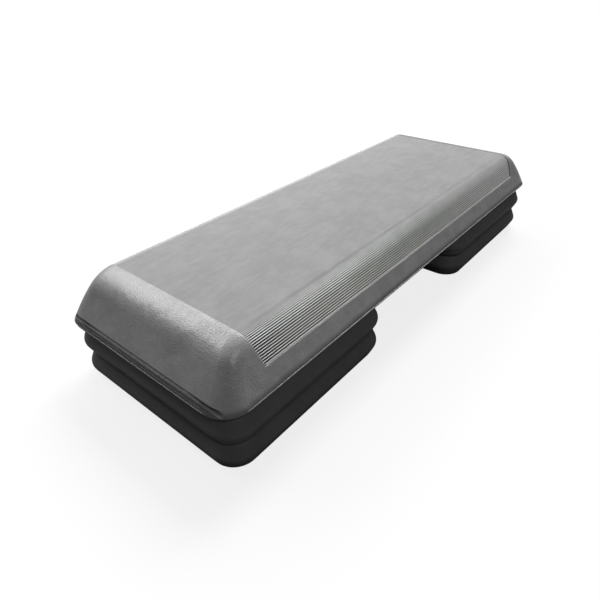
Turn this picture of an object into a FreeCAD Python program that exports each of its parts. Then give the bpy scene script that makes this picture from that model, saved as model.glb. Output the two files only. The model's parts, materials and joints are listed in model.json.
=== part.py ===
import FreeCAD, Part
import math
import os

# Aerobic step platform: a long hollow deck that stands at each end on a stack of nesting risers.
# Millimetres. X runs along the deck, Y across it, Z up. The origin is on the floor under the deck's middle.

# Deck, outside
DECK_LENGTH = 1092.2         # over the parting-line lip
DECK_WIDTH = 406.4           # over the parting-line lip
DECK_HEIGHT = 101.6          # top above the plane that the deck's own feet stand on
LIP_HEIGHT = 19.0            # middle of the lip above that plane
LIP_THICKNESS = 2.0
LIP_REACH = 1.4              # how far the lip stands out from the walls
LIP_BEVEL = 0.7              # on the lip's two edges
LIP_CORNER_RADIUS = 54.0     # in plan
SIDE_DRAFT = 25.0            # degrees from upright, long walls above the lip
SIDE_SHOULDER_RADIUS = 31.0
END_DRAFT = 34.0             # degrees from upright, end walls above the lip
END_SHOULDER_RADIUS = 62.0
WALL_CORNER_RADIUS = 58.0    # between end and long walls at the lip; it narrows up to the side shoulder
BASE_DRAFT = 33.0            # degrees from upright, all walls below the lip
DECK_WALL = 4.8              # moulded wall thickness

# Grip panel: fine ribs along X, over the top and both side shoulders and part way down the long walls
GRIP_LENGTH = 920.0
GRIP_DROP = 48.0             # the panel's lower edge below the top
GRIP_SLANT = 12.0            # degrees that the panel's ends lean towards its middle, going down
GRIP_CORNER_RADIUS = 9.0
GRIP_RECESS = 0.5            # rib crests below the smooth skin
TOP_RIB_PITCH = 2.1          # on the flat top; pitch and depth grow steadily over the shoulders
TOP_RIB_DEPTH = 0.7
WALL_RIB_PITCH = 4.1
WALL_RIB_DEPTH = 2.2

# Finger groove across each end wall, just above the lip
GROOVE_RADIUS = 5.2
GROOVE_SINK = 2.6            # its middle line inside the wall
GROOVE_LAND = 0.6            # wall left between the groove and the lip

# Tack-off pockets, pressed up from the underside to meet the top wall
TACK_LENGTH = 96.0
TACK_WIDTH = 36.0
TACK_CORNER_CUT = 9.0
TACK_DRAFT = 5.0             # degrees from upright
TACK_PITCH_X = 132.0
TACK_PITCH_Y = 150.0
TACK_COLUMNS = 3
TACK_ROWS = 2

# Risers
RISER_PITCH = 50.8           # height that one riser adds
RISER_LENGTH = 397.0         # along X, over the parting band
RISER_END_SETBACK = 4.5      # parting band inside the deck's lip, at the end
RISER_SIDE_SETBACK = 2.6     # parting band inside the deck's lip, at each long side
RISER_BAND = 6.0             # height of the upright parting band
RISER_TAPER = 8.5            # how far the walls lean in from the band to the bevels
RISER_BEVEL = 3.0            # on the top and bottom edges
RISER_CORNER_RADIUS = 48.0   # in plan, at the band
RISER_WALL = 3.2

# Nesting boss on each riser, and the socket above it that takes it
BOSS_SIDE = 250.0            # square, at its foot
BOSS_HEIGHT = 14.0
BOSS_DRAFT = 12.0            # degrees from upright
BOSS_CORNER_CUT = 14.0
SOCKET_CLEARANCE = 1.0       # each side

# Push-in rubber feet: square pads with cut corners
FOOT_SIDE = 32.0
FOOT_CORNER_CUT = 8.0
FOOT_STAND = 2.4             # below the shell that it is set in
FOOT_SEAT = 1.2              # depth of its seat in the shell
FOOT_CLEARANCE = 0.4         # round the pad in its seat
STEM_SIDE = 9.0
STEM_CORNER_CUT = 2.2
STEM_CLEARANCE = 0.3         # round and above the stem
BARB_SIDE = 12.6
BARB_TIP_SIDE = 6.4
BARB_HEIGHT = 5.0

# Risers of one stack from the floor up, and the sides of the origin that names stand for
LEVELS = ("lower", "upper")
ENDS = {"left": -1, "right": 1}
ROWS = {"front": -1, "back": 1}
PLACES = {"inner": -1, "outer": 1}

# Heights and places worked out from the sizes above
UP = FreeCAD.Vector(0, 0, 1)
ALONG = FreeCAD.Vector(1, 0, 0)
ACROSS = FreeCAD.Vector(0, 1, 0)
DECK_STAND = len(LEVELS) * RISER_PITCH
DECK_BASE = DECK_STAND + FOOT_STAND
DECK_TOP = DECK_STAND + DECK_HEIGHT
LIP_LEVEL = DECK_STAND + LIP_HEIGHT
RISE = DECK_TOP - LIP_LEVEL
BASE_SLOPE = math.tan(math.radians(BASE_DRAFT))
BASE_INSET = LIP_REACH + (LIP_LEVEL - DECK_BASE) * BASE_SLOPE
RISER_WIDTH = DECK_WIDTH - 2 * RISER_SIDE_SETBACK
RISER_CENTRE = DECK_LENGTH / 2 - RISER_END_SETBACK - RISER_LENGTH / 2
RISER_INSET = RISER_TAPER + RISER_BEVEL    # top and bottom faces inside the band
SOCKET_HALF = BOSS_SIDE / 2 + SOCKET_CLEARANCE
CORNER_CUT = 2 - math.sqrt(2)    # leg of the corner cut that touches a round corner of radius 1
NEAR = 1e-4


class Shoulder:
    """Section of one wall of the deck: from the lip up its slope, over a round shoulder to the flat top."""

    def __init__(self, lip_half, draft, radius):
        self.radius = radius
        self.slope = math.tan(math.radians(draft))
        self.turn = math.radians(90 - draft)
        self.lip_half = lip_half - LIP_REACH
        self.edge_half = self.lip_half - RISE * self.slope
        self.flat_half = self.edge_half - radius * math.tan(self.turn / 2)
        self.tangent_half = self.flat_half + radius * math.sin(self.turn)
        self.tangent_height = DECK_TOP - radius * (1 - math.cos(self.turn))

    def skin(self, angle):
        """Distance from the middle and height of the shoulder where the skin has turned by an angle."""
        return (self.flat_half + self.radius * math.sin(angle),
                DECK_TOP - self.radius * (1 - math.cos(angle)))


SIDE = Shoulder(DECK_WIDTH / 2, SIDE_DRAFT, SIDE_SHOULDER_RADIUS)
END = Shoulder(DECK_LENGTH / 2, END_DRAFT, END_SHOULDER_RADIUS)


def rounded_rectangle(length, width, radius, height, centre=(0.0, 0.0)):
    """Closed rounded rectangle, lying flat at a height."""
    reach_x = length / 2 - radius
    reach_y = width / 2 - radius
    arcs = []
    for side_x, side_y, start in ((1, 1, 0), (-1, 1, 90), (-1, -1, 180), (1, -1, 270)):
        middle = FreeCAD.Vector(centre[0] + side_x * reach_x, centre[1] + side_y * reach_y, height)
        arcs.append(Part.makeCircle(radius, middle, UP, start, start + 90))
    edges = []
    for arc, following in zip(arcs, arcs[1:] + arcs[:1]):
        edges.append(arc)
        edges.append(Part.makeLine(arc.lastVertex().Point, following.firstVertex().Point))
    return Part.Wire(edges)


def stacked(wires):
    """Solid with straight walls through closed outlines at rising heights."""
    return Part.makeLoft(wires, True, True)


def cut_rectangle(length, width, cut, height, centre=(0.0, 0.0)):
    """Corner points of a rectangle with its corners cut off, anticlockwise, at a height."""
    x = length / 2
    y = width / 2
    corners = ((x, y - cut), (x - cut, y), (cut - x, y), (-x, y - cut),
               (-x, cut - y), (cut - x, -y), (x - cut, -y), (x, cut - y))
    middle = FreeCAD.Vector(centre[0], centre[1], height)
    return [middle + FreeCAD.Vector(corner_x, corner_y, 0) for corner_x, corner_y in corners]


def flat_face(corners):
    """Flat face on a closed run of corner points."""
    return Part.Face(Part.makePolygon(corners + corners[:1]))


def faceted(rings):
    """Flat-sided solid through rings of corner points, from the lowest ring to the highest."""
    faces = [flat_face(rings[0][::-1]), flat_face(rings[-1])]
    for low, high in zip(rings, rings[1:]):
        for number, corner in enumerate(low):
            following = (number + 1) % len(low)
            faces.append(flat_face([corner, low[following], high[following], high[number]]))
    return Part.Solid(Part.Shell(faces))


def edges_at(shape, height):
    """Edges that lie wholly at one height."""
    return [edge for edge in shape.Edges
            if abs(edge.BoundBox.ZMin - height) < NEAR and abs(edge.BoundBox.ZMax - height) < NEAR]


def rounded_edges(shape, radii):
    """Shape with rounded edges: radii gives each edge's number and its radius at its first and last end."""
    document = FreeCAD.newDocument("rounding")
    sharp = document.addObject("Part::Feature", "sharp")
    sharp.Shape = shape
    rounded = document.addObject("Part::Fillet", "rounded")
    rounded.Base = sharp
    rounded.Edges = radii
    document.recompute()
    result = rounded.Shape.copy()
    FreeCAD.closeDocument(document.Name)
    return result


def end_view():
    """Side elevation of the deck above the lip, with its round end shoulders, as a block across the deck."""
    profile = ((END.lip_half, LIP_LEVEL), END.skin(END.turn), END.skin(END.turn / 2), END.skin(0))
    right = [FreeCAD.Vector(x, -DECK_WIDTH / 2, z) for x, z in profile]
    left = [FreeCAD.Vector(-x, -DECK_WIDTH / 2, z) for x, z in reversed(profile)]
    outline = Part.Wire([
        Part.makeLine(right[0], right[1]),
        Part.Arc(*right[1:]).toShape(),
        Part.makeLine(right[-1], left[0]),
        Part.Arc(*left[:-1]).toShape(),
        Part.makeLine(left[-2], left[-1]),
        Part.makeLine(left[-1], right[0]),
    ])
    return Part.Face(outline).extrude(ACROSS * DECK_WIDTH)


def deck_upper():
    """Deck above the lip: both elevations crossed, then rounded along the long sides and the corners."""
    section = [FreeCAD.Vector(-DECK_LENGTH / 2, y, z) for y, z in
               ((-SIDE.lip_half, LIP_LEVEL), (SIDE.lip_half, LIP_LEVEL),
                (SIDE.edge_half, DECK_TOP), (-SIDE.edge_half, DECK_TOP))]
    body = flat_face(section).extrude(ALONG * DECK_LENGTH).common(end_view())
    radii = []
    for number, edge in enumerate(body.Edges, 1):
        middle = edge.valueAt((edge.FirstParameter + edge.LastParameter) / 2)
        wall_half = SIDE.lip_half - (middle.z - LIP_LEVEL) * SIDE.slope
        on_long_wall = abs(abs(middle.y) - wall_half) < NEAR
        if not on_long_wall or middle.z < LIP_LEVEL + NEAR:
            continue
        ends = [WALL_CORNER_RADIUS if vertex.Point.z < LIP_LEVEL + NEAR else SIDE_SHOULDER_RADIUS
                for vertex in (edge.Vertexes[0], edge.Vertexes[-1])]
        radii.append((number, ends[0], ends[1]))
    return rounded_edges(body, radii)


def deck_outline(inset, height):
    """Plan outline of the deck's lip or of what lies below it, drawn in from the lip's edge."""
    return rounded_rectangle(DECK_LENGTH - 2 * inset, DECK_WIDTH - 2 * inset,
                             LIP_CORNER_RADIUS - inset, height)


def deck_lip():
    """Parting-line lip round the deck, bevelled to a blunt nose."""
    low = LIP_LEVEL - LIP_THICKNESS / 2
    high = LIP_LEVEL + LIP_THICKNESS / 2
    return stacked([deck_outline(LIP_BEVEL, low), deck_outline(0, low + LIP_BEVEL),
                    deck_outline(0, high - LIP_BEVEL), deck_outline(LIP_BEVEL, high)])


def deck_hollow():
    """Space inside the deck's moulded walls, with plain flat sides."""
    cut = LIP_CORNER_RADIUS * CORNER_CUT
    side = DECK_WALL / math.cos(math.radians(SIDE_DRAFT))
    end = DECK_WALL / math.cos(math.radians(END_DRAFT))
    floor = DECK_BASE + DECK_WALL
    floor_inset = (LIP_LEVEL - floor) * BASE_SLOPE
    shoulder = min(END.tangent_height, SIDE.tangent_height) - DECK_WALL
    rise = shoulder - LIP_LEVEL
    levels = (
        (floor, END.lip_half - end - floor_inset, SIDE.lip_half - side - floor_inset),
        (LIP_LEVEL, END.lip_half - end, SIDE.lip_half - side),
        (shoulder, END.lip_half - end - rise * END.slope, SIDE.lip_half - side - rise * SIDE.slope),
        (DECK_TOP - DECK_WALL, END.flat_half, SIDE.flat_half),
    )
    return faceted([cut_rectangle(2 * x, 2 * y, cut, z) for z, x, y in levels])


GROOVE_RISE = LIP_THICKNESS / 2 + GROOVE_LAND + GROOVE_RADIUS
GROOVE_HALF = END.lip_half - GROOVE_RISE * END.slope - GROOVE_SINK


def finger_groove(end):
    """Half-round groove across an end wall, just above the lip; it runs out where the corners turn away."""
    start = FreeCAD.Vector(end * GROOVE_HALF, -DECK_WIDTH / 2, LIP_LEVEL + GROOVE_RISE)
    return Part.makeCylinder(GROOVE_RADIUS, DECK_WIDTH, start, ACROSS)


def groove_backing(end):
    """Wall that the deck carries behind a finger groove."""
    reach = GROOVE_HALF - GROOVE_RADIUS - DECK_WALL
    depth = DECK_LENGTH / 2 - reach
    height = GROOVE_RISE + GROOVE_RADIUS + DECK_WALL
    x = reach if end > 0 else -reach - depth
    return Part.makeBox(depth, DECK_WIDTH, height, FreeCAD.Vector(x, -DECK_WIDTH / 2, LIP_LEVEL))


def tack_off_places():
    """Centres of the grid of pockets under the middle of the deck."""
    return [((column - (TACK_COLUMNS - 1) / 2) * TACK_PITCH_X, (row - (TACK_ROWS - 1) / 2) * TACK_PITCH_Y)
            for column in range(TACK_COLUMNS) for row in range(TACK_ROWS)]


TACK_CEILING = DECK_TOP - 2 * DECK_WALL
TACK_DRAW_IN = (TACK_CEILING - DECK_BASE) * math.tan(math.radians(TACK_DRAFT))


def tack_off(centre, wall=0.0):
    """Oblong pocket that narrows from the underside up to the top wall, or the same with a wall round it."""
    rings = []
    for height, draw_in in ((DECK_BASE, 0.0), (TACK_CEILING + wall, TACK_DRAW_IN)):
        length = TACK_LENGTH + 2 * (wall - draw_in)
        width = TACK_WIDTH + 2 * (wall - draw_in)
        rings.append(cut_rectangle(length, width, TACK_CORNER_CUT, height, centre))
    return faceted(rings)


BOSS_DRAW_IN = BOSS_HEIGHT * math.tan(math.radians(BOSS_DRAFT))


def boss_block(end, stand, grow=0.0):
    """Drafted square block that stands on a riser's top; grown sideways by a clearance it is the socket."""
    centre = (end * RISER_CENTRE, 0.0)
    rings = []
    for height, draw_in in ((stand, 0.0), (stand + BOSS_HEIGHT, BOSS_DRAW_IN)):
        side = BOSS_SIDE + 2 * (grow - draw_in)
        rings.append(cut_rectangle(side, side, BOSS_CORNER_CUT, height, centre))
    return faceted(rings)


def socket_backing(end, stand, wall):
    """Wall that a shell carries round and above its socket."""
    side = 2 * (SOCKET_HALF + wall)
    centre = (end * RISER_CENTRE, 0.0)
    return faceted([cut_rectangle(side, side, BOSS_CORNER_CUT, height, centre)
                    for height in (stand, stand + BOSS_HEIGHT + wall)])


def rib_section():
    """Points of the ribbed skin on the +Y half, from the middle of the top down the wall: (y, z) pairs."""
    shoulder_run = SIDE.flat_half + SIDE.radius * SIDE.turn
    wall_run = (SIDE.tangent_height - DECK_TOP + GRIP_DROP) / math.sin(SIDE.turn) + 2 * WALL_RIB_PITCH
    points = []
    run = 0.0
    while run < shoulder_run + wall_run:
        angle = min(max(run - SIDE.flat_half, 0.0) / SIDE.radius, SIDE.turn)
        share = angle / SIDE.turn
        depth = GRIP_RECESS
        if len(points) % 2:
            depth += TOP_RIB_DEPTH + (WALL_RIB_DEPTH - TOP_RIB_DEPTH) * share
        short_of_shoulder = max(SIDE.flat_half - run, 0.0)
        past_shoulder = max(run - shoulder_run, 0.0)
        y, z = SIDE.skin(angle)
        y += past_shoulder * math.cos(SIDE.turn) - short_of_shoulder - depth * math.sin(angle)
        z -= past_shoulder * math.sin(SIDE.turn) + depth * math.cos(angle)
        points.append((y, z))
        run += (TOP_RIB_PITCH + (WALL_RIB_PITCH - TOP_RIB_PITCH) * share) / 2
    return points


def grip_window():
    """Side view of the grip panel as a block across the deck, with its two lower corners rounded."""
    low = DECK_TOP - GRIP_DROP
    lean_in = GRIP_DROP * math.tan(math.radians(GRIP_SLANT))
    corners = ((-GRIP_LENGTH / 2, DECK_TOP), (lean_in - GRIP_LENGTH / 2, low),
               (GRIP_LENGTH / 2 - lean_in, low), (GRIP_LENGTH / 2, DECK_TOP))
    face = flat_face([FreeCAD.Vector(x, -DECK_WIDTH / 2, z) for x, z in corners])
    block = face.extrude(ACROSS * DECK_WIDTH)
    lower_corners = [edge for edge in edges_at(block, low) if edge.BoundBox.XLength < NEAR]
    return block.makeFillet(GRIP_CORNER_RADIUS, lower_corners)


def grip_cut():
    """Everything that the grip panel takes off the smooth deck."""
    half = rib_section()
    low = half[-1][1]
    outside = DECK_WIDTH / 2
    above = DECK_TOP + DECK_WALL
    ribs = [(-y, z) for y, z in reversed(half[1:])] + half
    outline = [(-outside, low)] + ribs + [(outside, low), (outside, above), (-outside, above)]
    section = flat_face([FreeCAD.Vector(-GRIP_LENGTH / 2, y, z) for y, z in outline])
    return section.extrude(ALONG * GRIP_LENGTH).common(grip_window())


def deck_foot_places():
    """Centres of the deck's feet by name, midway between its sockets and its outer edges."""
    x = (RISER_CENTRE + SOCKET_HALF + DECK_LENGTH / 2 - BASE_INSET) / 2
    y = (SOCKET_HALF + DECK_WIDTH / 2 - BASE_INSET) / 2
    return {"deck_foot_" + end_name + "_" + row_name: FreeCAD.Vector(end * x, row * y, DECK_STAND)
            for end_name, end in ENDS.items() for row_name, row in ROWS.items()}


def riser_foot_places(end, stand):
    """Centres of the feet under a riser by name, midway between its socket and its outer edges."""
    x = (SOCKET_HALF + RISER_LENGTH / 2 - RISER_INSET) / 2
    y = (SOCKET_HALF + RISER_WIDTH / 2 - RISER_INSET) / 2
    return {place_name + "_" + row_name: FreeCAD.Vector(end * (RISER_CENTRE + place * x), row * y, stand)
            for place_name, place in PLACES.items() for row_name, row in ROWS.items()}


def pad_ring(side, cut, centre, height):
    """Square ring with cut corners round a foot's middle line."""
    return cut_rectangle(side, side, cut, centre.z + height, (centre.x, centre.y))


def foot(centre, wall):
    """Rubber pad with a barbed stem that snaps through the shell's wall."""
    seat = FOOT_STAND + FOOT_SEAT
    stem_top = seat + wall + STEM_CLEARANCE
    rings = ((FOOT_SIDE, FOOT_CORNER_CUT, 0), (FOOT_SIDE, FOOT_CORNER_CUT, seat),
             (STEM_SIDE, STEM_CORNER_CUT, seat), (STEM_SIDE, STEM_CORNER_CUT, stem_top),
             (BARB_SIDE, STEM_CORNER_CUT, stem_top),
             (BARB_TIP_SIDE, STEM_CORNER_CUT, stem_top + BARB_HEIGHT))
    return faceted([pad_ring(side, cut, centre, height) for side, cut, height in rings])


def foot_seat(centre, wall):
    """Seat for a pad, and the hole for its stem."""
    seat = FOOT_STAND + FOOT_SEAT
    pad_side = FOOT_SIDE + 2 * FOOT_CLEARANCE
    hole_side = STEM_SIDE + 2 * STEM_CLEARANCE
    rings = ((pad_side, FOOT_CORNER_CUT, FOOT_STAND), (pad_side, FOOT_CORNER_CUT, seat),
             (hole_side, STEM_CORNER_CUT, seat), (hole_side, STEM_CORNER_CUT, seat + 2 * wall))
    return faceted([pad_ring(side, cut, centre, height) for side, cut, height in rings])


def seat_backing(centre, wall):
    """Wall that a shell carries round a foot's seat."""
    side = FOOT_SIDE + 2 * (FOOT_CLEARANCE + wall)
    heights = (FOOT_STAND, FOOT_STAND + FOOT_SEAT + wall)
    return faceted([pad_ring(side, FOOT_CORNER_CUT, centre, height) for height in heights])


def deck(feet):
    """Hollow deck: smooth shell with its lip, sockets and pockets below, end grooves, and ribs on top."""
    hollow = deck_hollow()
    hollow = hollow.cut([groove_backing(end) for end in ENDS.values()])
    hollow = hollow.cut([tack_off(centre, DECK_WALL) for centre in tack_off_places()])
    hollow = hollow.cut([socket_backing(end, DECK_STAND, DECK_WALL) for end in ENDS.values()])
    hollow = hollow.cut([seat_backing(centre, DECK_WALL) for centre in feet.values()])
    body = deck_upper().cut(grip_cut())
    body = body.cut([finger_groove(end) for end in ENDS.values()])
    base = stacked([deck_outline(BASE_INSET, DECK_BASE), deck_outline(LIP_REACH, LIP_LEVEL)])
    body = body.fuse([deck_lip(), base])
    body = body.cut([tack_off(centre) for centre in tack_off_places()])
    body = body.cut([boss_block(end, DECK_STAND, SOCKET_CLEARANCE) for end in ENDS.values()])
    body = body.cut(hollow)
    return body.cut([foot_seat(centre, DECK_WALL) for centre in feet.values()]).removeSplitter()


def riser_form(end, stand):
    """Outside of a riser: widest at its parting band, leaning in to bevelled top and bottom edges."""
    base = stand + FOOT_STAND
    top = stand + RISER_PITCH
    band = (base + top) / 2
    outlines = []
    for height, inset in ((base, RISER_INSET), (base + RISER_BEVEL, RISER_TAPER),
                          (band - RISER_BAND / 2, 0.0), (band + RISER_BAND / 2, 0.0),
                          (top - RISER_BEVEL, RISER_TAPER), (top, RISER_INSET)):
        outlines.append(rounded_rectangle(RISER_LENGTH - 2 * inset, RISER_WIDTH - 2 * inset,
                                          RISER_CORNER_RADIUS - inset, height, (end * RISER_CENTRE, 0.0)))
    return stacked(outlines)


def riser_hollow(end, stand):
    """Space inside a riser's walls and boss, with plain flat sides."""
    centre = (end * RISER_CENTRE, 0.0)
    base = stand + FOOT_STAND
    top = stand + RISER_PITCH
    cut = RISER_CORNER_RADIUS * CORNER_CUT
    rings = []
    for height, inset in ((base + RISER_WALL, RISER_INSET), ((base + top) / 2, 0.0),
                          (top - RISER_WALL, RISER_INSET)):
        length = RISER_LENGTH - 2 * (inset + RISER_WALL)
        width = RISER_WIDTH - 2 * (inset + RISER_WALL)
        rings.append(cut_rectangle(length, width, cut, height, centre))
    boss_side = BOSS_SIDE - 2 * (BOSS_DRAW_IN + RISER_WALL)
    boss = faceted([cut_rectangle(boss_side, boss_side, BOSS_CORNER_CUT, height, centre)
                    for height in (top - 2 * RISER_WALL, top + BOSS_HEIGHT - RISER_WALL)])
    return faceted(rings).cut(socket_backing(end, stand, RISER_WALL)).fuse(boss)


def riser(end, stand, feet):
    """Hollow riser with a boss on top, and a socket and foot seats below."""
    hollow = riser_hollow(end, stand)
    hollow = hollow.cut([seat_backing(centre, RISER_WALL) for centre in feet.values()])
    body = riser_form(end, stand).fuse(boss_block(end, stand + RISER_PITCH))
    body = body.cut(boss_block(end, stand, SOCKET_CLEARANCE))
    body = body.cut(hollow)
    return body.cut([foot_seat(centre, RISER_WALL) for centre in feet.values()]).removeSplitter()


def build():
    """Every node of the object, by name."""
    deck_feet = deck_foot_places()
    nodes = {"deck": deck(deck_feet)}
    for name, centre in deck_feet.items():
        nodes[name] = foot(centre, DECK_WALL)
    for end_name, end in ENDS.items():
        for number, level in enumerate(LEVELS):
            stand = number * RISER_PITCH
            feet = riser_foot_places(end, stand)
            nodes[end_name + "_" + level + "_riser"] = riser(end, stand, feet)
            for name, centre in feet.items():
                nodes[end_name + "_" + level + "_foot_" + name] = foot(centre, RISER_WALL)
    return nodes


os.makedirs("parts", exist_ok=True)
for node, shape in build().items():
    shape.exportStep("parts/" + node + ".step")
    print(node, len(shape.Solids), shape.isValid(), round(shape.Volume / 1000, 1), "cm3")
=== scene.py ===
import json
import math

import bpy
from mathutils import Matrix, Vector


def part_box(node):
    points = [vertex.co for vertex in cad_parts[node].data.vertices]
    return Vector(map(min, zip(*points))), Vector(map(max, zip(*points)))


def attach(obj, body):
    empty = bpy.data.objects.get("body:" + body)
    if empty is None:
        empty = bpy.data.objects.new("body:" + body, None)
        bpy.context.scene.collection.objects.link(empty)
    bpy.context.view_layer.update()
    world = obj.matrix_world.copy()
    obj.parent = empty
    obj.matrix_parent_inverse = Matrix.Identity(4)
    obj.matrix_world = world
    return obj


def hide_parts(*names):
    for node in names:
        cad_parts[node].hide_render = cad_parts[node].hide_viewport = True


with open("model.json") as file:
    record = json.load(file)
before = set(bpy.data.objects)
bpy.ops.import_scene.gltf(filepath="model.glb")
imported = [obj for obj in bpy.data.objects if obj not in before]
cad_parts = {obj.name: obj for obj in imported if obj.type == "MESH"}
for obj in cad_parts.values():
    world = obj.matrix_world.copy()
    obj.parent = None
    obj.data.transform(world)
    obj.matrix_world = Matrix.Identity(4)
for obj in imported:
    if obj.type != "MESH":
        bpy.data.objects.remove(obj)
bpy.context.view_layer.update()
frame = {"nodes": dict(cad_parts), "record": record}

# Aerobic step platform: grey moulded deck on black moulded risers. Metres, in the CAD frame.
DECK_LOW, DECK_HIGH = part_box("deck")

# Camera, solved from the photograph's perspective
IMAGE_PIXELS = 600
SENSOR_MM = 36.0
FOCAL_PIXELS = 496.7
CAMERA_PLACE = Vector((-0.80704, -0.56070, 0.61528))
CAMERA_HEADING = math.radians(40.843)     # from +X towards +Y
CAMERA_PITCH = math.radians(34.286)       # downwards
CAMERA_ROLL = math.radians(-1.666)

# Grip panel on the deck, as modelled: the smooth moulded skin lies outside it
GRIP_HALF_LENGTH = 0.460
GRIP_SLANT = math.tan(math.radians(12.0))
GRIP_LOW = DECK_HIGH.z - 0.048
GRIP_EDGE = 0.001         # width over which the panel's finish fades into the skin's
RIB_CREST = 0.0005        # below the smooth skin
RIB_SOFTNESS = 0.8        # how far feet have worn the ribs smooth at the top of the shoulders

# Finger groove across the end walls, as modelled: its middle line and radius
GROOVE_HALF = DECK_HIGH.x - 0.0086
GROOVE_LEVEL = DECK_HIGH.z - 0.0758
GROOVE_RADIUS = 0.0052
GROOVE_FADE = (GROOVE_RADIUS * 1.02, GROOVE_RADIUS * 1.1)    # where its finish ends, from the middle line

# Parting-line lip round the deck, as modelled
LIP_TOP = DECK_HIGH.z - 0.0815
LIP_CORNER_RADIUS = 0.054

# Section of the deck's long shoulders: where the flat top ends, their radius, and how far they turn
SHOULDER_START = 0.1435
SHOULDER_RADIUS = 0.031
SHOULDER_TURN = math.radians(65.0)

# Risers, as modelled, with the rounds that their mould gives them
RISER_NAMES = ("left_lower_riser", "left_upper_riser", "right_lower_riser", "right_upper_riser")
RISER_CORNER_RADIUS = 0.048
RISER_DRAFT = math.radians(25.0)
NOSE_RADIUS = 0.0135
RISER_EDGE_RADIUS = 0.0045
BOSS_HALF = 0.125
BOSS_HEIGHT = 0.014
BOSS_SLOPE = math.tan(math.radians(12.0))
BOSS_CORNER_RADIUS = 0.0239
BOSS_EDGE_RADIUS = 0.002
SOCKET_CLEARANCE = 0.001
SOCKET_EDGE_RADIUS = 0.0012

# Feet of a riser, as modelled: the pad, its stem, and the room that the riser leaves round them
FOOT_STAND = 0.0024
FOOT_SEAT = 0.0012
PAD_CLEARANCE = 0.0004
PAD_CORNER_CUT = 0.008
STEM_ROOM = 0.0096
BARB_ROOM = 0.0134
STEM_CORNER_CUT = 0.0022
RISER_WALL = 0.0032
BARB_ROOM_HEIGHT = 0.0062

# Steps of each round corner in plan and of each round edge, and the angle from which an edge stays sharp
CORNER_STEPS = 12
ROUND_STEPS = 5
SHARP_ANGLE = math.radians(40.0)

# Greys of the materials, from their darkest marks to their lightest
DECK_GREY = (0.43, 0.51)
RISER_GREY = (0.12, 0.145)
FOOT_GREY = (0.012, 0.03)
FLOOR_GREY = 0.18

# Roughness of the plastics, from their darkest marks to their lightest
DECK_ROUGHNESS = (0.54, 0.60)
RISER_ROUGHNESS = (0.50, 0.62)
SKIN_GLOSS = 0.26             # how much less rough the deck's smooth skin is than its ribs

# Marks on the plastics: smudges, and scuffs that are drawn out along the deck
SMUDGE_RANGE = (0.3, 0.7)     # of the smudges' noise, from dark to light
SCUFF_STRETCH = (0.2, 1.0, 1.0)
SCUFF_SHARE = 0.6             # weight of the scuffs beside the smudges
MARK_RANGE = (0.58, 1.02)     # of the deck's smudges and scuffs together, from dark to light

# Leathery grain: the size of its cells, and the distance in cells from their middle to their edge
DECK_GRAIN = 0.0026
RISER_GRAIN = 0.0012
GRAIN_REACH = 0.8

# Painted shade between the ribs, and painted highlights on the shoulders' crests
RIB_SHADE_DEPTH = 0.0018              # below the smooth skin, where the painted shade is full
RIB_SHADE_LEVEL = 0.14                # what full painted shade leaves of the grey
RIB_SHADE_DULLING = 0.4               # share of the gloss that the painted shade takes off
TOP_SHADE = (0.9, 0.3)            # share of the painted shade on the flat top, at the front and at the back
SHOULDER_SHADE = (1.0, 0.6)       # share of the painted shade on the shoulders, at the near end and at the far end
SHOULDER_FADE = (-0.30, 0.10)    # places along the deck between which the shoulders' share changes
CREST_HIGHLIGHT = 0.6                 # how much paler the shoulders' crests are painted, as highlights

# Painted shade on the lip and in the finger grooves, and painted light at the grooves' backs
LIP_SHADE_HEIGHT = 0.011      # how far it reaches above the lip
END_SHADE = 0.8           # what it takes off the grey on the ends
SIDE_SHADE = 0.6          # what it takes off the grey on the sides
GROOVE_LIGHT = 0.7         # how much paler the grooves are painted at the back, as light where the recess is in shade

# Lamps: directions from the middle of the deck, and slopes of the shoulders that mirror the strips
KEY_DIRECTION = (0.62, 0.19, 0.775)
BACK_DIRECTION = (0.50, 0.58, 0.64)
FRONT_DIRECTION = (-0.26, -0.68, 0.68)
SHEEN_TURN = math.radians(22.0)     # of the near end's shoulder
SHEEN_INSET = 0.045                 # of that slope from the end of the deck
FAR_TURN = math.radians(20.0)       # of the front shoulder

# Surroundings: light from all round, the floor's half size, and where the floor fades to white
AMBIENT = 0.03
FLOOR_HALF = 6.0
FLOOR_FADE = (0.7, 1.6)


def set_input(tree, socket, value):
    """Sets an input socket to a value, or joins it to an output socket."""
    if isinstance(value, bpy.types.NodeSocket):
        tree.links.new(value, socket)
    else:
        socket.default_value = value


def set_inputs(tree, node, **inputs):
    """Sets a node's inputs by socket name, with underscores for spaces."""
    for name, value in inputs.items():
        set_input(tree, node.inputs[name.replace("_", " ")], value)


def add_node(tree, kind, settings=None, **inputs):
    """New shader node with its settings and inputs."""
    node = tree.nodes.new("ShaderNode" + kind)
    for name, value in (settings or {}).items():
        setattr(node, name, value)
    set_inputs(tree, node, **inputs)
    return node


def math_node(tree, operation, *values, kind="Math"):
    """First output of one Math node, or of a node of a like kind."""
    node = add_node(tree, kind, {"operation": operation})
    for socket, value in zip(node.inputs, values):
        set_input(tree, socket, value)
    return node.outputs[0]


def vector_node(tree, operation, *vectors):
    """Vector output of one Vector Math node."""
    return math_node(tree, operation, *vectors, kind="VectorMath")


def scaled(tree, vector, factor):
    """Vector times a factor."""
    node = add_node(tree, "VectorMath", {"operation": "SCALE"}, Vector=vector, Scale=factor)
    return node.outputs["Vector"]


def remap(tree, value, low, high, new_low=0.0, new_high=1.0):
    """Output of a smooth Map Range node."""
    node = add_node(tree, "MapRange", {"interpolation_type": "SMOOTHSTEP"}, Value=value,
                    From_Min=low, From_Max=high, To_Min=new_low, To_Max=new_high)
    return node.outputs["Result"]


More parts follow.
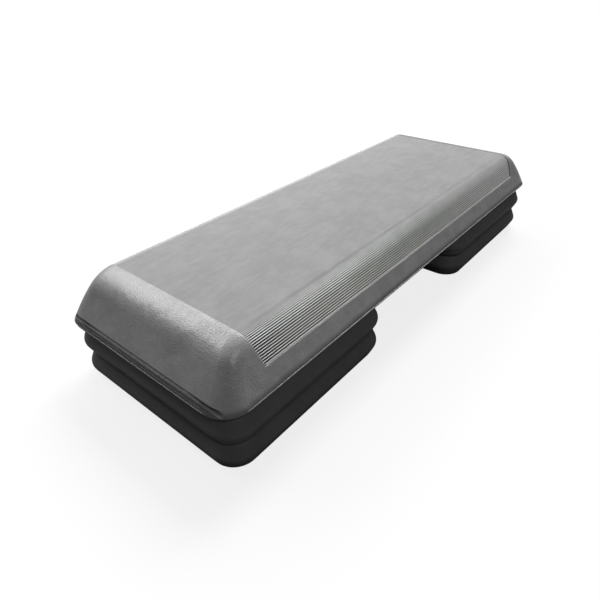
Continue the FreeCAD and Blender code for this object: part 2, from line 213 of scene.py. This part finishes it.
def object_places(tree):
    """Output with each point's place in the CAD frame, at rest."""
    return add_node(tree, "TexCoord").outputs["Object"]


def coordinates(tree, places):
    """X, Y and Z outputs of places."""
    return add_node(tree, "SeparateXYZ", Vector=places).outputs


def noise(tree, places, scale, detail=3.0, roughness=0.5):
    """Factor output of a noise texture with a scale in features per metre."""
    node = add_node(tree, "TexNoise", Vector=places, Scale=scale, Detail=detail, Roughness=roughness)
    return node.outputs["Fac"]


def scuffs(tree, places, scale):
    """Noise drawn out along the deck, with a scale in features per metre across it."""
    return noise(tree, vector_node(tree, "MULTIPLY", places, SCUFF_STRETCH), scale)


def leather_height(tree, places, cell):
    """Height of a leathery pebble grain with cells of a size in metres."""
    warp = add_node(tree, "TexNoise", Vector=places, Scale=0.5 / cell, Detail=2.0).outputs["Color"]
    moved = vector_node(tree, "ADD", places, scaled(tree, warp, cell))
    cells = add_node(tree, "TexVoronoi", {"feature": "SMOOTH_F1"}, Vector=moved,
                     Scale=1.0 / cell, Smoothness=0.2)
    return remap(tree, cells.outputs["Distance"], 0.0, GRAIN_REACH, 1.0, 0.0)


def bump(tree, height, **inputs):
    """Normal output of a Bump node."""
    return add_node(tree, "Bump", Height=height, **inputs).outputs["Normal"]


def grey(level):
    """Opaque grey of a linear level."""
    return (level, level, level, 1.0)


def grey_ramp(tree, factor, dark, light):
    """Colour between two greys by a factor."""
    node = add_node(tree, "ValToRGB", Fac=factor)
    for element, level in zip(node.color_ramp.elements, (dark, light)):
        element.color = grey(level)
    return node.outputs["Color"]


def new_material(name):
    """Empty principled material: its node tree and its shader node."""
    material = bpy.data.materials.new(name)
    material.use_nodes = True
    return material, material.node_tree, material.node_tree.nodes["Principled BSDF"]


def grip_mask(tree, places):
    """One on the ribbed grip panel and nought on the smooth skin."""
    x, _, z = coordinates(tree, places)
    slant = math_node(tree, "MULTIPLY", math_node(tree, "SUBTRACT", DECK_HIGH.z, z), GRIP_SLANT)
    along = math_node(tree, "ADD", math_node(tree, "ABSOLUTE", x), slant)
    inside = remap(tree, along, GRIP_HALF_LENGTH, GRIP_HALF_LENGTH + GRIP_EDGE, 1.0, 0.0)
    above = remap(tree, z, GRIP_LOW - GRIP_EDGE, GRIP_LOW)
    return math_node(tree, "MULTIPLY", inside, above)


def shoulder_section(tree, places):
    """Turn of the deck's section, from the flat top to the long wall, and the depth below its skin."""
    _, y, z = coordinates(tree, places)
    out = math_node(tree, "SUBTRACT", math_node(tree, "ABSOLUTE", y), SHOULDER_START)
    up = math_node(tree, "SUBTRACT", z, DECK_HIGH.z - SHOULDER_RADIUS)
    angle = math_node(tree, "ARCTAN2", out, up)
    turn = math_node(tree, "MINIMUM", math_node(tree, "MAXIMUM", angle, 0.0), SHOULDER_TURN)
    reach = math_node(tree, "ADD", math_node(tree, "MULTIPLY", up, math_node(tree, "COSINE", turn)),
                      math_node(tree, "MULTIPLY", out, math_node(tree, "SINE", turn)))
    return turn, math_node(tree, "SUBTRACT", SHOULDER_RADIUS, reach)


def groove_mask(tree, places):
    """One in the finger grooves and nought elsewhere."""
    x, _, z = coordinates(tree, places)
    out = math_node(tree, "SUBTRACT", math_node(tree, "ABSOLUTE", x), GROOVE_HALF)
    up = math_node(tree, "SUBTRACT", z, GROOVE_LEVEL)
    apart = math_node(tree, "SQRT", math_node(tree, "ADD", math_node(tree, "MULTIPLY", out, out),
                                              math_node(tree, "MULTIPLY", up, up)))
    return remap(tree, apart, *GROOVE_FADE, 1.0, 0.0)


def groove_light_and_shade(tree, places):
    """Share of the grey left in the finger grooves: painted light at the back, where the recess is in
    shade, and painted shade by the lip and corners.
    """
    x, y, _ = coordinates(tree, places)
    pale = 1.0 + GROOVE_LIGHT
    corner = DECK_HIGH.y - LIP_CORNER_RADIUS
    out = math_node(tree, "ABSOLUTE", x)
    across = math_node(tree, "ABSOLUTE", y)
    # Painted light at the back of each groove, painted shade by the lip and by the corners
    by_lip = remap(tree, out, GROOVE_HALF - GROOVE_RADIUS, GROOVE_HALF, pale, 1.0 - END_SHADE)
    by_corner = remap(tree, across, corner - LIP_CORNER_RADIUS, corner, pale, 1.0 - SIDE_SHADE)
    return math_node(tree, "MINIMUM", by_lip, by_corner)


def lip_painted_shade(tree, places):
    """Share of the grey that painted shade takes off on the lip and just above it."""
    _, y, z = coordinates(tree, places)
    # Painted shade, darkest at the lip and stronger on the ends than on the sides
    near_lip = remap(tree, z, LIP_TOP, LIP_TOP + LIP_SHADE_HEIGHT, 1.0, 0.0)
    across = math_node(tree, "ABSOLUTE", y)
    amount = remap(tree, across, DECK_HIGH.y - LIP_CORNER_RADIUS, DECK_HIGH.y - LIP_SHADE_HEIGHT,
                   END_SHADE, SIDE_SHADE)
    return math_node(tree, "MULTIPLY", near_lip, amount)


def rib_painted_light(tree, places, depth, shoulder):
    """Share of the grey that painted shade takes off between the ribs: more at the front of the top and
    at the near end, and below nought on the shoulders' crests, which are painted paler as highlights.
    """
    x, y, _ = coordinates(tree, places)
    on_top = remap(tree, y, -SHOULDER_START, SHOULDER_START, *TOP_SHADE)
    on_shoulder = remap(tree, x, *SHOULDER_FADE, *SHOULDER_SHADE)
    change = math_node(tree, "MULTIPLY", shoulder, math_node(tree, "SUBTRACT", on_shoulder, on_top))
    amount = math_node(tree, "ADD", on_top, change)
    painted_crest_highlight = math_node(tree, "MULTIPLY", shoulder, -CREST_HIGHLIGHT)
    # Painted shade deepens towards the bottoms of the ribs, and the crests get a painted highlight
    between = remap(tree, depth, RIB_CREST, RIB_SHADE_DEPTH, painted_crest_highlight, 1.0 - RIB_SHADE_LEVEL)
    on_panel = math_node(tree, "MULTIPLY", amount, grip_mask(tree, places))
    return math_node(tree, "MULTIPLY", between, on_panel)


def worn_normal(tree, places, turn):
    """Normal of the deck, eased towards its plain section where the ribs on the shoulders are worn."""
    _, y, _ = coordinates(tree, places)
    sideways = math_node(tree, "MULTIPLY", math_node(tree, "SIGN", y), math_node(tree, "SINE", turn))
    plain = add_node(tree, "CombineXYZ", Y=sideways, Z=math_node(tree, "COSINE", turn)).outputs["Vector"]
    softness = math_node(tree, "MINIMUM", math_node(tree, "SUBTRACT", SHOULDER_TURN, turn), RIB_SOFTNESS)
    begun = remap(tree, turn, 0.0, SHOULDER_TURN / 3)
    on_panel = math_node(tree, "MULTIPLY", begun, grip_mask(tree, places))
    worn = math_node(tree, "MULTIPLY", softness, on_panel)
    normal = add_node(tree, "NewGeometry").outputs["Normal"]
    change = scaled(tree, vector_node(tree, "SUBTRACT", plain, normal), worn)
    return vector_node(tree, "NORMALIZE", vector_node(tree, "ADD", normal, change))


def deck_colour(tree, places, smudges, painted_light, groove):
    """Grey with smudges and scuffs, with painted shade and painted highlights on the ribs, on the lip and
    in the grooves.
    """
    faint_scuffs = math_node(tree, "MULTIPLY", scuffs(tree, places, scale=150.0), SCUFF_SHARE)
    marks = math_node(tree, "ADD", smudges, faint_scuffs)
    clean = grey_ramp(tree, remap(tree, marks, *MARK_RANGE), *DECK_GREY)
    # Painted shade and highlights outside the grooves, painted light and shade inside them
    outside = math_node(tree, "MULTIPLY", math_node(tree, "SUBTRACT", 1.0, painted_light),
                        math_node(tree, "SUBTRACT", 1.0, groove))
    inside = math_node(tree, "MULTIPLY", groove, groove_light_and_shade(tree, places))
    return scaled(tree, clean, math_node(tree, "ADD", outside, inside))


def deck_roughness(tree, smudges, glossy):
    """Roughness of the ribs, less the gloss of the smooth skin and the shoulders."""
    return math_node(tree, "SUBTRACT", remap(tree, smudges, *SMUDGE_RANGE, *DECK_ROUGHNESS),
                     math_node(tree, "MULTIPLY", glossy, SKIN_GLOSS))


def deck_normal(tree, places, turn, leathery):
    """Worn normal of the ribs, with slight waves and grain where the skin is leathery."""
    waves = math_node(tree, "MULTIPLY", noise(tree, places, scale=20.0, detail=2.0), leathery)
    wavy = bump(tree, waves, Strength=0.6, Distance=0.004, Normal=worn_normal(tree, places, turn))
    grain = math_node(tree, "MULTIPLY", leather_height(tree, places, DECK_GRAIN), leathery)
    return bump(tree, grain, Strength=0.35, Distance=0.0005, Normal=wavy)


def deck_material():
    """Grey moulded plastic: leathery on the smooth skin, plain on the ribs, with marks, painted shade and
    painted highlights.
    """
    material, tree, shader = new_material("deck_plastic")
    places = object_places(tree)
    smudges = noise(tree, places, scale=22.0, detail=5.0, roughness=0.65)
    turn, depth = shoulder_section(tree, places)
    shoulder = remap(tree, turn, 0.0, SHOULDER_TURN / 2)
    smooth_skin = math_node(tree, "SUBTRACT", 1.0, grip_mask(tree, places))
    groove = groove_mask(tree, places)
    # Painted shade between the ribs and on the lip, with painted highlights on the crests; the shaded
    # places are also rougher
    painted_light = math_node(tree, "MAXIMUM", rib_painted_light(tree, places, depth, shoulder), lip_painted_shade(tree, places))
    dull = math_node(tree, "MAXIMUM", groove, math_node(tree, "MULTIPLY", painted_light, RIB_SHADE_DULLING))
    glossy = math_node(tree, "SUBTRACT", math_node(tree, "MAXIMUM", smooth_skin, shoulder), dull)
    leathery = math_node(tree, "SUBTRACT", smooth_skin, groove)
    set_inputs(tree, shader, Base_Color=deck_colour(tree, places, smudges, painted_light, groove),
               Roughness=deck_roughness(tree, smudges, glossy), Specular_IOR_Level=0.7,
               Normal=deck_normal(tree, places, turn, leathery))
    return material


def riser_material():
    """Black moulded plastic with a fine grain and a little dust."""
    material, tree, shader = new_material("riser_plastic")
    places = object_places(tree)
    dust = noise(tree, places, scale=14.0, detail=4.0, roughness=0.6)
    grain = leather_height(tree, places, RISER_GRAIN)
    set_inputs(tree, shader, Base_Color=grey_ramp(tree, remap(tree, dust, *SMUDGE_RANGE), *RISER_GREY),
               Roughness=remap(tree, dust, *SMUDGE_RANGE, *RISER_ROUGHNESS),
               Normal=bump(tree, grain, Strength=0.25, Distance=0.0002))
    return material


def foot_material():
    """Matt black rubber."""
    material, tree, shader = new_material("foot_rubber")
    specks = noise(tree, object_places(tree), scale=900.0)
    set_inputs(tree, shader, Base_Color=grey_ramp(tree, specks, *FOOT_GREY), Roughness=0.8,
               Normal=bump(tree, specks, Strength=0.2, Distance=0.0002))
    return material


def add_object(name, data):
    """New object in the scene."""
    holder = bpy.data.objects.new(name, data)
    bpy.context.scene.collection.objects.link(holder)
    return holder


def rounded_path(corners):
    """Points of a flat path through corners (across, height, radius), with the inner corners rounded."""
    places = [Vector(corner[:2]) for corner in corners]
    points = [places[0]]
    for number in range(1, len(corners) - 1):
        corner = places[number]
        radius = corners[number][2]
        back = (places[number - 1] - corner).normalized()
        onward = (places[number + 1] - corner).normalized()
        half_angle = back.angle(onward) / 2
        centre = corner + (back + onward).normalized() * radius / math.sin(half_angle)
        first = (corner + back * radius / math.tan(half_angle) - centre).normalized()
        last = (corner + onward * radius / math.tan(half_angle) - centre).normalized()
        for step in range(ROUND_STEPS + 1):
            points.append(centre + radius * first.slerp(last, step / ROUND_STEPS))
    return points + [places[-1]]


def rounded_ring(middle, half_x, half_y, radius, height):
    """Points of a rounded rectangle round a middle, lying flat at a height."""
    points = []
    for quarter, (side_x, side_y) in enumerate(((1, 1), (-1, 1), (-1, -1), (1, -1))):
        for step in range(CORNER_STEPS + 1):
            angle = (quarter + step / CORNER_STEPS) * math.pi / 2
            points.append((middle.x + side_x * (half_x - radius) + radius * math.cos(angle),
                           middle.y + side_y * (half_y - radius) + radius * math.sin(angle), height))
    return points


def cut_ring(middle, half, cut, height):
    """Points of a square with cut corners round a middle, lying flat at a height."""
    corners = ((half, half - cut), (half - cut, half), (cut - half, half), (-half, half - cut),
               (-half, cut - half), (cut - half, -half), (half - cut, -half), (half, cut - half))
    return [(middle.x + x, middle.y + y, height) for x, y in corners]


def lofted(name, rings):
    """Closed object through rings with equal numbers of points, the first and the last one filled."""
    count = len(rings[0])
    points = [point for ring in rings for point in ring]
    faces = [tuple(reversed(range(count))), tuple(range(len(points) - count, len(points)))]
    for ring in range(len(rings) - 1):
        for step in range(count):
            low = ring * count + step
            low_next = ring * count + (step + 1) % count
            faces.append((low, low_next, low_next + count, low + count))
    mesh = bpy.data.meshes.new(name)
    mesh.from_pydata(points, [], faces)
    return add_object(name, mesh)


def socket_path(base):
    """Path from the middle of a riser's socket down to its base: half sizes and heights."""
    ceiling = base - FOOT_STAND + BOSS_HEIGHT
    socket_half = BOSS_HALF + SOCKET_CLEARANCE
    ceiling_half = socket_half - BOSS_HEIGHT * BOSS_SLOPE
    mouth_half = socket_half - FOOT_STAND * BOSS_SLOPE
    return rounded_path([(ceiling_half - BOSS_HEIGHT, ceiling, 0.0),
                         (ceiling_half, ceiling, BOSS_EDGE_RADIUS),
                         (mouth_half, base, SOCKET_EDGE_RADIUS),
                         (mouth_half + BOSS_HEIGHT, base, 0.0)])


def wall_path(base, top):
    """Path from a riser's base over its round nose to its flat top: insets and heights."""
    half_height = (top - base) / 2
    nose_excess = NOSE_RADIUS * (1 / math.cos(RISER_DRAFT) - 1)
    edge_inset = half_height * math.tan(RISER_DRAFT) - nose_excess
    return rounded_path([(2 * edge_inset, base, 0.0),
                         (edge_inset, base, RISER_EDGE_RADIUS),
                         (-nose_excess, base + half_height, NOSE_RADIUS),
                         (edge_inset, top, RISER_EDGE_RADIUS),
                         (2 * edge_inset, top, 0.0)])


def boss_path(top, boss_top):
    """Path from a riser's flat top over its boss: half sizes and heights."""
    top_half = BOSS_HALF - BOSS_HEIGHT * BOSS_SLOPE
    return rounded_path([(BOSS_HALF + BOSS_HEIGHT, top, 0.0),
                         (BOSS_HALF, top, BOSS_EDGE_RADIUS),
                         (top_half, boss_top, BOSS_EDGE_RADIUS),
                         (top_half - BOSS_HEIGHT, boss_top, 0.0)])


def riser_rings(low, high):
    """Rings of a riser: down its socket, out along its base, up its wall and over its boss."""
    middle = (low + high) / 2
    half_x = (high.x - low.x) / 2
    half_y = (high.y - low.y) / 2
    top = high.z - BOSS_HEIGHT
    socket = [rounded_ring(middle, half, half, BOSS_CORNER_RADIUS, height)
              for half, height in socket_path(low.z)]
    wall = [rounded_ring(middle, half_x - inset, half_y - inset, RISER_CORNER_RADIUS - inset, height)
            for inset, height in wall_path(low.z, top)]
    boss = [rounded_ring(middle, half, half, BOSS_CORNER_RADIUS, height)
            for half, height in boss_path(top, high.z)]
    return socket + wall + boss


def foot_room(node, base):
    """Closed object in the shape of the room that a riser leaves for a foot: seat, hole and barb."""
    low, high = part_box(node)
    middle = (low + high) / 2
    pad_half = (high.x - low.x) / 2 + PAD_CLEARANCE
    seat = base + FOOT_SEAT
    inside = seat + RISER_WALL
    sizes = ((pad_half, PAD_CORNER_CUT, low.z),
             (pad_half, PAD_CORNER_CUT, seat),
             (STEM_ROOM / 2, STEM_CORNER_CUT, seat),
             (STEM_ROOM / 2, STEM_CORNER_CUT, inside),
             (BARB_ROOM / 2, STEM_CORNER_CUT, inside),
             (BARB_ROOM / 2, STEM_CORNER_CUT, inside + BARB_ROOM_HEIGHT))
    return lofted(node + "_room", [cut_ring(middle, half, cut, height) for half, cut, height in sizes])


def cut_out(piece, cutters):
    """Cuts objects out of a piece and takes them away."""
    for cutter in cutters:
        piece.modifiers.new(cutter.name, "BOOLEAN").object = cutter
    solved = piece.evaluated_get(bpy.context.evaluated_depsgraph_get())
    mesh = bpy.data.meshes.new_from_object(solved)
    piece.modifiers.clear()
    piece.data = mesh
    for cutter in cutters:
        bpy.data.objects.remove(cutter)


def add_riser(name, material):
    """Moulded riser in place of its plainer CAD node."""
    low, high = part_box(name)
    piece = lofted(name + "_moulding", riser_rings(low, high))
    feet = [node for node in frame["nodes"] if node.startswith(name.replace("riser", "foot"))]
    cut_out(piece, [foot_room(node, low.z) for node in feet])
    piece.data.shade_smooth()
    piece.data.set_sharp_from_angle(angle=SHARP_ANGLE)
    piece.data.materials.append(material)
    piece.modifiers.new("even_faces", "WEIGHTED_NORMAL").keep_sharp = True
    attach(piece, name)
    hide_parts(name)


def dress_nodes(finishes):
    """Gives every CAD node its finish."""
    for subpart in frame["record"]["subparts"]:
        node = frame["nodes"][subpart["node"]]
        for slot in node.material_slots:
            slot.material = finishes[subpart["material_slot"]]


def add_camera():
    """Camera at the photograph's place."""
    forward = Vector((math.cos(CAMERA_HEADING) * math.cos(CAMERA_PITCH),
                      math.sin(CAMERA_HEADING) * math.cos(CAMERA_PITCH), -math.sin(CAMERA_PITCH)))
    level_right = Vector((math.sin(CAMERA_HEADING), -math.cos(CAMERA_HEADING), 0.0))
    level_up = level_right.cross(forward)
    right = math.cos(CAMERA_ROLL) * level_right + math.sin(CAMERA_ROLL) * level_up
    up = math.cos(CAMERA_ROLL) * level_up - math.sin(CAMERA_ROLL) * level_right
    camera = bpy.data.cameras.new("photo_camera")
    camera.sensor_width = SENSOR_MM
    camera.lens = SENSOR_MM * FOCAL_PIXELS / IMAGE_PIXELS
    camera.clip_start = 0.01
    holder = add_object("photo_camera", camera)
    turn = Matrix((right, up, -forward)).transposed()
    holder.matrix_world = Matrix.Translation(CAMERA_PLACE) @ turn.to_4x4()
    bpy.context.scene.camera = holder


def add_lamp(name, target, direction, distance, width, height, power):
    """Soft oblong lamp in a direction from a target, pointing at it."""
    lamp = bpy.data.lights.new(name, "AREA")
    lamp.shape = "RECTANGLE"
    lamp.size = width
    lamp.size_y = height
    lamp.energy = power
    holder = add_object(name, lamp)
    heading = Vector(direction).normalized()
    holder.location = target + heading * distance
    holder.rotation_euler = (-heading).to_track_quat("-Z", "Y").to_euler()


def mirrored(place, turn_x, turn_y):
    """Direction that the camera sees mirrored at a place whose slope has turned from level."""
    slope = Vector((math.sin(turn_x), math.sin(turn_y), math.cos(turn_x) * math.cos(turn_y)))
    return (place - CAMERA_PLACE).normalized().reflect(slope.normalized())


def add_lamps():
    """Key and back lamps beyond the far end, strips that two shoulders mirror, and a weak front lamp."""
    middle = (DECK_LOW + DECK_HIGH) / 2
    end_shoulder = Vector((DECK_LOW.x + SHEEN_INSET, 0.0, DECK_HIGH.z))
    front_shoulder = Vector((DECK_HIGH.x / 2, -SHOULDER_START, DECK_HIGH.z))
    add_lamp("key_lamp", middle, KEY_DIRECTION, distance=14.0, width=5.2, height=5.2, power=1490.0)
    add_lamp("back_lamp", middle, BACK_DIRECTION, distance=12.0, width=4.8, height=4.8, power=480.0)
    add_lamp("sheen_lamp", end_shoulder, mirrored(end_shoulder, -SHEEN_TURN, 0.0),
             distance=4.0, width=2.6, height=0.8, power=56.0)
    add_lamp("far_lamp", front_shoulder, mirrored(front_shoulder, 0.0, -FAR_TURN),
             distance=4.0, width=1.4, height=1.4, power=20.0)
    add_lamp("front_lamp", middle, FRONT_DIRECTION, distance=5.0, width=1.2, height=1.2, power=24.0)


def add_world():
    """Even pale surroundings: white to the camera, softer as light."""
    world = bpy.data.worlds.new("studio")
    world.use_nodes = True
    bpy.context.scene.world = world
    tree = world.node_tree
    seen = add_node(tree, "LightPath").outputs["Is Camera Ray"]
    set_inputs(tree, tree.nodes["Background"], Color=grey(1.0),
               Strength=remap(tree, seen, 0.0, 1.0, AMBIENT, 1.0))


def floor_material():
    """Matt grey that glows to the camera, so that it is pale and fades to white away from the object."""
    material, tree, shader = new_material("pale_floor")
    away = add_node(tree, "VectorMath", {"operation": "LENGTH"}, Vector=object_places(tree))
    glow = remap(tree, away.outputs["Value"], *FLOOR_FADE, 1.0 - FLOOR_GREY, 1.0)
    seen = add_node(tree, "LightPath").outputs["Is Camera Ray"]
    set_inputs(tree, shader, Base_Color=grey(FLOOR_GREY), Roughness=0.9, Specular_IOR_Level=0.0,
               Emission_Color=grey(1.0), Emission_Strength=math_node(tree, "MULTIPLY", seen, glow))
    return material


def add_floor():
    """Pale floor that keeps the object's shadow."""
    mesh = bpy.data.meshes.new("floor")
    corners = [(-FLOOR_HALF, -FLOOR_HALF, 0.0), (FLOOR_HALF, -FLOOR_HALF, 0.0),
               (FLOOR_HALF, FLOOR_HALF, 0.0), (-FLOOR_HALF, FLOOR_HALF, 0.0)]
    mesh.from_pydata(corners, [], [(0, 1, 2, 3)])
    mesh.materials.append(floor_material())
    floor = add_object("floor", mesh)


finishes = {"deck": deck_material(), "riser": riser_material(), "foot": foot_material()}
dress_nodes(finishes)
for riser_name in RISER_NAMES:
    add_riser(riser_name, finishes["riser"])
add_camera()
add_lamps()
add_world()
add_floor()
bpy.context.scene.view_settings.view_transform = "Standard"
